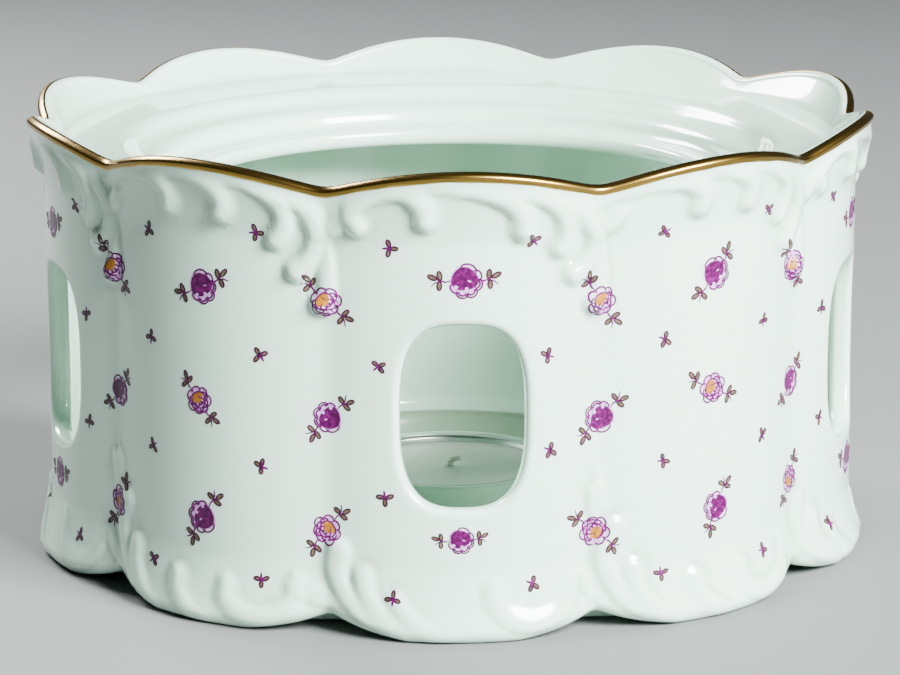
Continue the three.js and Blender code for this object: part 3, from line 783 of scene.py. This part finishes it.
class Motif:
    """One transfer, drawn flat in mm with x to the right and z up, as a sheet for each enamel."""

    def __init__(self):
        self.sheets = {enamel: ([], []) for enamel in ENAMEL_COLOURS}

    def strip(self, enamel, right, left, closed=False):
        points, faces = self.sheets[enamel]
        first, count = len(points), len(right)
        points += [point for pair in zip(right, left) for point in pair]
        for j in range(count if closed else count - 1):
            a, b = first + 2 * j, first + 2 * ((j + 1) % count)
            faces.append((a, b, b + 1, a + 1))

    def line(self, enamel, route, width, closed=False):
        """A pen line along a route, thinner at its ends if it is open."""
        route = np.array(route, float)
        ahead = np.roll(route, -1, 0) if closed else np.vstack([route[1:], 2 * route[-1] - route[-2]])
        behind = np.roll(route, 1, 0) if closed else np.vstack([2 * route[0] - route[1], route[:-1]])
        along = ahead - behind
        along /= np.hypot(along[:, 0], along[:, 1])[:, None]
        side = np.stack([-along[:, 1], along[:, 0]], 1) * width / 2
        if not closed:
            side[[0, -1]] *= PEN_TAPER
        self.strip(enamel, (route - side).tolist(), (route + side).tolist(), closed)

    def wash(self, enamel, outline, rings=1, gaps=()):
        """A brushed area inside an outline that runs anticlockwise. Gaps are cells left bare."""
        outline = np.array(outline, float)
        middle = outline.mean(0)
        points, faces = self.sheets[enamel]
        first, count = len(points), len(outline)
        points.append(middle)
        for ring in range(1, rings + 1):
            points += list(mix(middle, outline, ring / rings))
        for ring in range(rings):
            inner, outer = first + 1 + (ring - 1) * count, first + 1 + ring * count
            for j in range(count):
                k = (j + 1) % count
                if (ring, j) in gaps:
                    continue
                if ring == 0:
                    faces.append((first, outer + j, outer + k))
                else:
                    faces.append((inner + j, outer + j, outer + k, inner + k))

    def leaf(self, base, degrees, length, width):
        ahead, side = np.array(polar(1, degrees)), np.array(polar(1, degrees + 90))
        outline = []
        for step in range(LEAF_POINTS):
            turn = 2 * math.pi * step / LEAF_POINTS
            along = length * (1 - math.cos(turn)) / 2
            outline.append(np.array(base) + ahead * along - side * math.sin(turn) * width / 2)
        self.wash("leaf_wash", outline)
        self.line("leaf_line", outline, FINE_LINE, closed=True)

    def petal(self, inner, outer, degrees, spread, steps=9, rim=True):
        """A rounded petal edge round the bloom, with its curled rim inside it."""
        for share, reach in ((1, outer), (RIM_SPREAD, mix(inner, outer, RIM_REACH)))[: 2 if rim else 1]:
            turns = np.linspace(degrees - spread * share, degrees + spread * share, steps)
            arch = np.sin(np.linspace(0, math.pi, steps)) ** 0.5
            self.line("purple_line", [polar(mix(inner, reach, a), t) for a, t in zip(arch, turns)], LINE)

    def spray(self, side, lift):
        """A short stem with three leaves and a thin tip, on one end of the rose."""

        def out(x, z):
            return side * x, z + lift * (x - STEM_FROM)

        def lean(degrees):
            return degrees if side > 0 else 180 - degrees

        self.line("purple_line", [out(2.3, 0), out(3.2, -0.2), out(4.1, 0), out(4.8, 0.3)], LINE)
        self.leaf(out(4.0, 0.1), lean(80), 1.6, 0.8)
        self.leaf(out(4.2, -0.15), lean(-86), 1.5, 0.8)
        self.leaf(out(4.6, 0.25), lean(24), 1.7, 0.8)
        self.line("purple_line", [out(4.1, 0), out(4.9, -0.35), out(5.7, -1)], FINE_LINE)


def wavy_round(radius, count, wave, phase):
    turns = [360 * j / count for j in range(count)]
    return [polar(radius * (1 + wave * math.cos(math.radians(3 * t + phase))), t) for t in turns]


def purple_rose(phase):
    rose = Motif()
    rose.wash("blush_wash", wavy_round(2.6, 16, 0.05, phase), 4)
    bud = [(1.04 * x, 0.92 * z + 0.2) for x, z in wavy_round(2.2, 20, 0.06, phase)]
    rose.wash("purple_wash", bud, 4, {(1, 18), (3, 15), (3, 12)})
    lean = phase / 12
    for degrees, outer, spread, rim in (
        (62, 2.9, 40, False), (14, 3.0, 26, False), (-26, 3.1, 28, True), (-68, 3.2, 27, True),
        (-108, 3.1, 27, True), (-148, 2.8, 26, False),
    ):
        rose.petal(2.15, outer, degrees + lean, spread, rim=rim)
    rose.spray(1, 0.02)
    rose.spray(-1, 0.03)
    return rose


def yellow_rose(phase):
    rose = Motif()
    lean = phase / 8
    rose.wash("blush_wash", wavy_round(2.5, 16, 0.04, phase), 4)
    heart = [(0.95 * x - 0.45, 1.3 * z) for x, z in wavy_round(1.05, 14, 0.05, phase)]
    rose.wash("yellow_wash", heart, 3)
    for degrees, outer in ((-8, 2.7), (44, 2.9), (98, 2.7), (150, 2.6), (205, 2.8), (262, 2.9), (312, 2.7)):
        rose.petal(1.85, outer, degrees + lean, 31, rim=False)
    for degrees, outer in ((20, 2.2), (-40, 2.3), (75, 2.2), (235, 2.25), (-85, 2.2)):
        rose.petal(1.5, outer, degrees + lean, 33, 7, rim=False)
    rose.line("purple_line", wavy_round(1.6, 18, 0.06, phase), LINE, closed=True)
    for degrees, reach in ((42, 1.3), (-8, 1.1), (-58, 1.35)):
        rose.petal(0.6, reach, degrees, 42, 7, rim=False)
    rose.line("purple_line", [(0.1, 0.9), (-0.3, 0.35), (-0.9, 0.3)], FINE_LINE)
    rose.spray(1, -0.04)
    rose.spray(-1, 0.05)
    return rose


TWIG_LINE, TWIG_LEAF = 0.42, 0.72


def sprig(splay, reach):
    twig = Motif()
    twig.leaf((0.1, 0.15), 82, 1.4 * reach, TWIG_LEAF)
    twig.leaf((0.15, -0.1), -26 - splay, 1.3, TWIG_LEAF)
    twig.leaf((-0.1, -0.15), 230 + splay, 1.35, TWIG_LEAF)
    twig.line("purple_line", [(0.5, -0.1), (-0.2, 0.05), (-0.7, 0.3), (-1.2, 0.5)], TWIG_LINE)
    twig.line("purple_line", [(0.12, 0.75), (0, 0), (-0.4, -0.85)], TWIG_LINE)
    return twig


MOTIFS = [purple_rose(0), purple_rose(70), yellow_rose(0), yellow_rose(50), sprig(0, 1), sprig(18, 0.85)]
PURPLE, YELLOW, SPRIG = (0, 1), (2, 3), (4, 5)

# Where the hand laid them: turn round the shell in degrees, height in mm, tilt in degrees. Those on
# the front are set one by one, and the rest follow the same rhythm, each a little astray.
SMALL_BUD = (-0.4, 18.6, 4, PURPLE)
FRONT_ROSES = [
    (0.2, 65, 2, PURPLE), SMALL_BUD, (-35.5, 61.3, 24, PURPLE), (-36.2, 40.6, -48, YELLOW),
    (-35.8, 19.2, 236, PURPLE), (34.9, 62.9, 48, PURPLE), (34.8, 42.2, -24, YELLOW),
    (35.9, 20.2, 246, PURPLE), (-17.9, 60.4, -40, YELLOW), (-17.7, 39.5, 224, PURPLE),
    (-18.1, 19.1, 232, YELLOW), (18.4, 60.1, -56, YELLOW), (18.6, 39.1, 222, PURPLE),
    (17.7, 18.4, 142, YELLOW), (-53.6, 61.2, -48, YELLOW), (-53.6, 38.1, 43, PURPLE),
    (-53.8, 17.2, 60, YELLOW), (52.2, 60.7, -48, YELLOW), (52.6, 38.9, 43, PURPLE), (53, 20.3, 60, YELLOW),
]
FRONT_SPRIGS = [
    (-45, 69.8, 0), (-27.2, 71.9, 25), (-45, 50.2, 110), (-27, 50, 150), (-45, 30.2, 235),
    (-27, 29.8, 190), (-45, 9.2, 65), (-27, 9.2, 300), (-9.3, 70.4, 25), (9, 71.7, 150),
    (-10.9, 49.4, 65), (11, 51, 190), (-10.1, 25.8, 300), (11.4, 34.1, 0), (-9, 7.9, 110), (9, 10.2, 0),
    (27.2, 71.4, 235), (45, 72.6, 65), (27.4, 52.2, 0), (44.6, 52.3, 110), (27.3, 30.2, 25),
    (44.8, 31, 150), (27, 9.6, 300), (45, 9.6, 25),
]
VALLEY_ROSES = [(60.6, -48, YELLOW), (39.4, 43, PURPLE), (18.9, 60, YELLOW)]
LOBE_ROSES = [(61.8, 40, PURPLE), (41.2, -38, YELLOW), (19.4, 60, PURPLE)]
WINDOW_ROSES = [(65.4, 3, PURPLE), (17.8, 3, PURPLE)]
SPRIG_ROWS, SPRIG_TILTS = (70.4, 50.2, 30.2, 9.2), [0, 25, 65, 110, 150, 190, 235, 300]
ROSES_PLACED_TO, SPRIGS_PLACED_TO = 56, 40
SPRIG_ASIDE, PAST_WINDOW = 9, 1.25
ROSE_STRAY, SPRIG_STRAY = (0.3, 0.5, 8), (0.3, 0.7)
LOBE_DEGREES = 360 // LOBES
hand = np.random.default_rng(12)


def astray(spot, strays):
    return [value + hand.normal(0, stray) for value, stray in zip(spot, strays)]


laid = FRONT_ROSES + [(*place_and_tilt, SPRIG) for place_and_tilt in FRONT_SPRIGS]
for lobe in range(LOBES):
    centre = (lobe * LOBE_DEGREES + 180) % 360 - 180
    valley = (lobe * LOBE_DEGREES + 180 + LOBE_DEGREES // 2) % 360 - 180
    for middle, roses in ((centre, LOBE_ROSES if lobe % 2 else WINDOW_ROSES), (valley, VALLEY_ROSES)):
        for height, tilt, kind in roses if abs(middle) > ROSES_PLACED_TO else ():
            laid.append((*astray((middle, height, tilt), ROSE_STRAY), kind))
    for side in (-SPRIG_ASIDE, SPRIG_ASIDE) if abs(centre) > SPRIGS_PLACED_TO else ():
        for row, height in enumerate(SPRIG_ROWS):
            aside = side * PAST_WINDOW if lobe % 2 == 0 and row in (1, 2) else side
            tilt = hand.choice(SPRIG_TILTS)
            laid.append((*astray((centre + aside, height), SPRIG_STRAY), tilt, SPRIG))

# The tree lays the transfers on: it sets each motif out flat, wraps the sheet round the shell from
# outside until it touches the glaze, and gives the enamel its thickness.
ENAMEL_SUNK, OUTSIDE_RADIUS, INWARD_REACH, SEAM = 0.03, 100, 60, 0.0005
transfers, given, result = geometry_tree(
    "Transfers",
    {
        "Motifs": ("Collection", None),
        "Shell": ("Object", None),
        "Girth radius": ("Float", GIRTH_RADIUS * MM),
        "Enamel rise": ("Float", 0.03 * MM),
        "Enamel sunk": ("Float", ENAMEL_SUNK * MM),
        "Enamel": ("Material", None),
    },
)
named = {
    label: add(transfers, "GeometryNodeInputNamedAttribute", {"Name": label}, data_type=kind)
    for label, kind in (("kind", "INT"), ("tilt", "FLOAT"), ("size", "FLOAT"))
}
motifs = add(
    transfers,
    "GeometryNodeCollectionInfo",
    {"Collection": given["Motifs"], "Separate Children": True, "Reset Children": True},
)
tilt = add(transfers, "ShaderNodeCombineXYZ", {1: named["tilt"]})
spin = add(transfers, "FunctionNodeEulerToRotation", {0: tilt})
laid_out = add(
    transfers,
    "GeometryNodeInstanceOnPoints",
    {
        "Points": given["Geometry"],
        "Instance": motifs,
        "Pick Instance": True,
        "Instance Index": named["kind"],
        "Rotation": spin,
        "Scale": named["size"],
    },
)
flat_sheet = add(transfers, "GeometryNodeRealizeInstances", {"Geometry": laid_out})
xyz = add(transfers, "ShaderNodeSeparateXYZ", {0: add(transfers, "GeometryNodeInputPosition")}).outputs
turn = add(transfers, "ShaderNodeMath", {0: xyz[0], 1: given["Girth radius"]}, operation="DIVIDE")
outward, outside = round_axis(transfers, turn, OUTSIDE_RADIUS * MM, xyz[2])
inward = add(transfers, "ShaderNodeVectorMath", {0: outward, "Scale": -1.0}, operation="SCALE")
shell = add(transfers, "GeometryNodeObjectInfo", {"Object": given["Shell"]}).outputs["Geometry"]
touch = add(
    transfers,
    "GeometryNodeRaycast",
    {
        "Target Geometry": shell,
        "Source Position": outside,
        "Ray Direction": inward,
        "Ray Length": INWARD_REACH * MM,
    },
).outputs
sunk = add(transfers, "ShaderNodeVectorMath", {0: inward, "Scale": given["Enamel sunk"]}, operation="SCALE")
under = add(transfers, "ShaderNodeVectorMath", {0: touch["Hit Position"], 1: sunk}, operation="ADD")
wrapped = add(transfers, "GeometryNodeSetPosition", {"Geometry": flat_sheet, "Position": under})
thickness = add(
    transfers, "ShaderNodeMath", {0: given["Enamel rise"], 1: given["Enamel sunk"]}, operation="ADD"
)
top = add(
    transfers, "GeometryNodeExtrudeMesh", {"Mesh": wrapped, "Offset Scale": thickness, "Individual": False}
)
underneath = add(transfers, "GeometryNodeFlipFaces", {"Mesh": wrapped})
both = add(transfers, "GeometryNodeJoinGeometry", {"Geometry": top})
transfers.links.new(underneath.outputs[0], both.inputs["Geometry"])
sealed = add(transfers, "GeometryNodeMergeByDistance", {"Geometry": both, "Distance": SEAM * MM})
end_tree(transfers, sealed, given["Enamel"], result)

SIZES, SMALL_SIZE = (0.92, 1.04), 0.8
places = bpy.data.meshes.new("transfer_places")
girth = [math.radians(angle) * GIRTH_RADIUS * MM for angle, _, _, _ in laid]
places.from_pydata([(x, 0, z * MM) for x, (_, z, _, _) in zip(girth, laid)], [], [])
kinds = [int(hand.choice(kind)) for _, _, _, kind in laid]
tilts = [-math.radians(tilt) for _, _, tilt, _ in laid]
scales = [hand.uniform(*SIZES) for _ in laid]
scales[FRONT_ROSES.index(SMALL_BUD)] = SMALL_SIZE
for label, sort, values in (("kind", "INT", kinds), ("tilt", "FLOAT", tilts), ("size", "FLOAT", scales)):
    places.attributes.new(label, sort, "POINT").data.foreach_set("value", values)

STROKE_WIDTH, WEAK_FROM, WEAK_TO = 0.7, 0.42, 0.72
for enamel, (strong, weak, rise) in ENAMEL_COLOURS.items():
    fired_enamel, tree, shader = material(
        "onglaze_enamel_" + enamel, {"Roughness": 0.3, "Specular IOR Level": 0.25}
    )
    where = add(tree, "ShaderNodeTexCoord").outputs["Object"]
    strokes = add(
        tree, "ShaderNodeTexNoise", {"Vector": where, "Scale": 1 / (STROKE_WIDTH * MM), "Detail": 2}
    )
    weakness = add(
        tree, "ShaderNodeMapRange", {"Value": strokes, "From Min": WEAK_FROM, "From Max": WEAK_TO}
    )
    colour = add(tree, "ShaderNodeMix", {0: weakness, 6: linear(strong), 7: linear(weak)}, data_type="RGBA")
    tree.links.new(colour.outputs[2], shader.inputs["Base Color"])
    sheets = bpy.data.collections.new(enamel)
    for n, motif in enumerate(MOTIFS):
        points, faces = motif.sheets[enamel]
        sheet = bpy.data.meshes.new(enamel)
        sheet.from_pydata([(x * MM, 0, z * MM) for x, z in points], [], faces)
        sheets.objects.link(bpy.data.objects.new(f"{enamel}_{n}", sheet))
    values = {"Motifs": sheets, "Shell": porcelain_shell, "Enamel rise": rise * MM, "Enamel": fired_enamel}
    transfer = formed("rosebuds_" + enamel, places.copy(), transfers, values)
    for sheet in list(sheets.objects):
        bpy.data.objects.remove(sheet)
    bpy.data.collections.remove(sheets)
    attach(transfer, "warmer")

# The tealight's cup is pressed from thin aluminium sheet: a flat bottom, a wall with a slight taper
# and a lip rolled outwards so that a finger can lift it.

SEAT = 2.56
CUP_RADIUS, CUP_HEIGHT = 19, 9.8


def turned(name, profile, columns, finish, hollow=False):
    """A solid turned round the axis from radii and heights in mm. Its two ends are closed over the
    axis, or, where a hole runs through it, the section itself closes."""
    form = Blank()
    rings = [form.ring(place((r, z + SEAT)), columns) for r, z in profile]
    for near, far in zip(rings, rings[1:]):
        form.bridge(near, far)
    if hollow:
        form.bridge(rings[-1], rings[0])
    else:
        form.faces += [tuple(rings[0]), tuple(rings[-1])]
    mesh = form.mesh(name)
    faces_outwards(mesh)
    mesh.shade_smooth()
    mesh.materials.append(finish)
    return set_out(name, mesh)


def grained(name, grain, detail, colours, relief, values):
    """A material whose grain, in mm along each axis, shades it between two colours and stands up from
    it. Relief is the grain's strength and its height in mm."""
    made, tree, shader = material(name, values)
    where = add(tree, "ShaderNodeTexCoord").outputs["Object"]
    scaled = add(tree, "ShaderNodeMapping", {"Vector": where, "Scale": [1 / (size * MM) for size in grain]})
    noise = add(tree, "ShaderNodeTexNoise", {"Vector": scaled, "Scale": 1, "Detail": detail})
    low, high = (linear(colour) for colour in colours)
    tone = add(tree, "ShaderNodeMix", {0: noise, 6: low, 7: high}, data_type="RGBA")
    tree.links.new(tone.outputs[2], shader.inputs["Base Color"])
    strength, height = relief
    bump = add(tree, "ShaderNodeBump", {"Height": noise, "Strength": strength, "Distance": height * MM})
    tree.links.new(bump.outputs[0], shader.inputs["Normal"])
    return made


# Pressed aluminium: bright, with the fine rings that the press tool leaves round it, drawn coarse
# enough to show.
cup_aluminium = grained(
    "pressed_aluminium",
    grain=(16.7, 16.7, 0.74),
    detail=3,
    colours=("#B9BCBE", "#DCDEDF"),
    relief=(0.3, 0.05),
    values={"Metallic": 1, "Roughness": 0.28},
)

LIP_ROLL, LIP_DROP = 0.3, 0.4
cup_outside = [(0.3, 0), (17.4, 0), (18.1, 0.1), (18.5, 0.5), (18.62, 1.1), (18.9, 8.4), (19, 8.95)]
rolled_lip = [
    (CUP_RADIUS + LIP_ROLL + LIP_ROLL * math.sin(t), CUP_HEIGHT - LIP_DROP - LIP_DROP * math.cos(t))
    for t in np.linspace(0, math.pi, 8)
]
cup_inside = [
    (18.85, 9.62), (18.62, 9.2), (18.55, 8.4), (18.27, 1.2), (18.1, 0.75), (17.4, 0.4), (0.3, 0.35),
]
cup_profile = cup_outside + rolled_lip + cup_inside
tealight_cup = turned("tealight_cup_pressed", cup_profile, MIDDLING // 2, cup_aluminium)
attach(tealight_cup, "tealight")
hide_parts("tealight_cup")

# The wax is poured paraffin. It climbs a little at the cup's wall and round the wick and sinks
# between them as it sets, and light goes some way into it.

paraffin = grained(
    "poured_paraffin_wax",
    grain=(2.38, 2.38, 2.38),
    detail=4,
    colours=("#CDD6CB", "#DCE3D8"),
    relief=(0.25, 0.1),
    values={
        "Roughness": 0.42,
        "Subsurface Weight": 0.5,
        "Subsurface Radius": (1.0, 0.9, 0.7),
        "Subsurface Scale": 3 * MM,
    },
)

wax_body = [
    (6.62, 0.47), (17.3, 0.47), (18, 0.8), (18.25, 1.4), (18.38, 8.55), (18.2, 8.62), (17.7, 8.52),
    (16.8, 8.42), (14, 8.33), (9, 8.27), (5, 8.28), (2.6, 8.36), (1.4, 8.5), (0.95, 8.62), (0.82, 8.5),
    (0.82, 3.79), (1.62, 3.79), (1.62, 0.99), (6.62, 0.99),
]
tealight_wax = turned("tealight_wax_poured", wax_body, MIDDLING // 2, paraffin, hollow=True)
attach(tealight_wax, "tealight")
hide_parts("tealight_wax")

# The wick is cotton yarn, three strands twisted round each other and dipped in wax. It leans over
# where it leaves the wax.

bleached_cotton = grained(
    "waxed_cotton_yarn",
    grain=(0.2, 0.2, 0.2),
    detail=3,
    colours=("#B4B2A0", "#D2D0C2"),
    relief=(0.5, 0.05),
    values={"Roughness": 0.65, "Sheen Weight": 0.2},
)

twist, given, result = geometry_tree(
    "Twisted yarn",
    {
        "Strands": ("Int", 3),
        "Strand radius": ("Float", 0.3 * MM),
        "Lay radius": ("Float", 0.26 * MM),
        "Turns": ("Float", 4.0),
        "Yarn": ("Material", None),
    },
)
route = add(twist, "GeometryNodeMeshToCurve", {"Mesh": given["Geometry"]})
fine_route = add(twist, "GeometryNodeResampleCurve", {"Curve": route, "Count": 70})
copies = add(
    twist,
    "GeometryNodeDuplicateElements",
    {"Geometry": fine_route, "Amount": given["Strands"]},
    domain="SPLINE",
)
along = add(twist, "GeometryNodeSplineParameter").outputs["Factor"]
turns = add(twist, "ShaderNodeMath", {0: along, 1: given["Turns"]}, operation="MULTIPLY")
share = add(twist, "ShaderNodeMath", {0: copies.outputs[1], 1: given["Strands"]}, operation="DIVIDE")
place_in_turn = add(twist, "ShaderNodeMath", {0: turns, 1: share}, operation="ADD")
phase = add(twist, "ShaderNodeMath", {0: place_in_turn, 1: 2 * math.pi}, operation="MULTIPLY")
sideways = add(twist, "GeometryNodeInputNormal")
ahead = add(twist, "GeometryNodeInputTangent")
turned_out = add(
    twist,
    "ShaderNodeVectorRotate",
    {"Vector": sideways, "Axis": ahead, "Angle": phase},
    rotation_type="AXIS_ANGLE",
)
offset = add(twist, "ShaderNodeVectorMath", {0: turned_out, "Scale": given["Lay radius"]}, operation="SCALE")
strands = add(twist, "GeometryNodeSetPosition", {"Geometry": copies, "Offset": offset})
section = add(
    twist, "GeometryNodeCurvePrimitiveCircle", {"Resolution": 8, "Radius": given["Strand radius"]}
)
yarn = add(twist, "GeometryNodeCurveToMesh", {"Curve": strands, "Profile Curve": section, "Fill Caps": True})
smooth = add(twist, "GeometryNodeSetShadeSmooth", {"Geometry": yarn})
end_tree(twist, smooth, given["Yarn"], result)

WICK_ROUTE = [(0, 0.6), (0, 3), (0, 6), (0, 8), (0.1, 8.9), (0.5, 9.6), (1.2, 10), (2, 10.05)]
route_points = smooth_stroke([(x, z, 0) for x, z in WICK_ROUTE], 5)
route_mesh = bpy.data.meshes.new("wick_route")
route_mesh.from_pydata(
    [(x * MM, 0, (z + SEAT) * MM) for x, z, _ in route_points],
    [(n, n + 1) for n in range(len(route_points) - 1)],
    [],
)
tealight_wick = formed("tealight_wick_twisted", route_mesh, twist, {"Yarn": bleached_cotton})
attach(tealight_wick, "tealight")
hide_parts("tealight_wick")

# The sustainer is a tinned steel disc with a neck crimped on the wick, buried in the wax. Its form is
# the CAD's own, and only its finish is made here.

tinned_steel = grained(
    "tinned_steel",
    grain=(1.11, 1.11, 1.11),
    detail=2,
    colours=("#8F9294", "#B9BBBC"),
    relief=(0, 0),
    values={"Metallic": 1, "Roughness": 0.35},
)
sustainer = frame["nodes"]["wick_sustainer"]
for slot in range(len(sustainer.data.materials)):
    sustainer.data.materials[slot] = tinned_steel

# The photo's viewpoint, a plain pale floor and soft studio light. Places are in mm, and the floor is
# some metres wide.

SENSOR_WIDTH, FRAME_PIXELS, FOCAL_PIXELS = 36, 900, 3595.5
SHIFT_X, SHIFT_Y = 0.0009, -0.01735
EYE, AIM, ROLL = Vector((-20.9, -682.47, 194.28)), Vector((0, 0, 40)), -0.116
camera_data = bpy.data.cameras.new("camera")
camera_data.sensor_width = SENSOR_WIDTH
camera_data.lens = FOCAL_PIXELS / FRAME_PIXELS * SENSOR_WIDTH
camera_data.shift_x, camera_data.shift_y = SHIFT_X, SHIFT_Y
camera = set_out("camera", camera_data)
bpy.context.scene.camera = camera
look = (AIM * MM - EYE * MM).to_track_quat("-Z", "Y").to_matrix().to_4x4()
camera.matrix_world = Matrix.Translation(EYE * MM) @ look @ Matrix.Rotation(math.radians(ROLL), 4, "Z")

LEFT, RIGHT, NEAR, FAR = -4, 4, -4, 6
floor_mesh = bpy.data.meshes.new("floor")
corners = [(LEFT, NEAR, 0), (RIGHT, NEAR, 0), (RIGHT, FAR, 0), (LEFT, FAR, 0)]
floor_mesh.from_pydata(corners, [], [(0, 1, 2, 3)])
pale_floor = material("pale_paper_floor", {"Base Color": linear("#6A6E6D"), "Roughness": 0.75})[0]
floor_mesh.materials.append(pale_floor)
floor = set_out("floor", floor_mesh)


def softbox(name, place_mm, size_mm, watts):
    """A soft lamp that looks at the middle of the warmer."""
    light = bpy.data.lights.new(name, "AREA")
    light.shape = "RECTANGLE"
    light.size, light.size_y = size_mm[0] * MM, size_mm[1] * MM
    light.energy = watts
    lamp = set_out(name, light)
    lamp.location = Vector(place_mm) * MM
    lamp.rotation_euler = (AIM - Vector(place_mm)).to_track_quat("-Z", "Y").to_euler()


softbox("key_from_the_right_front", (570, -635, 576), (490, 440), 80)
softbox("lamp_from_the_left_back", (-430, 540, 540), (340, 260), 17)
world = bpy.data.worlds.new("studio")
world.use_nodes = True
background = world.node_tree.nodes["Background"].inputs
background["Color"].default_value, background["Strength"].default_value = linear("#7F8A88"), 0.22
bpy.context.scene.world = world
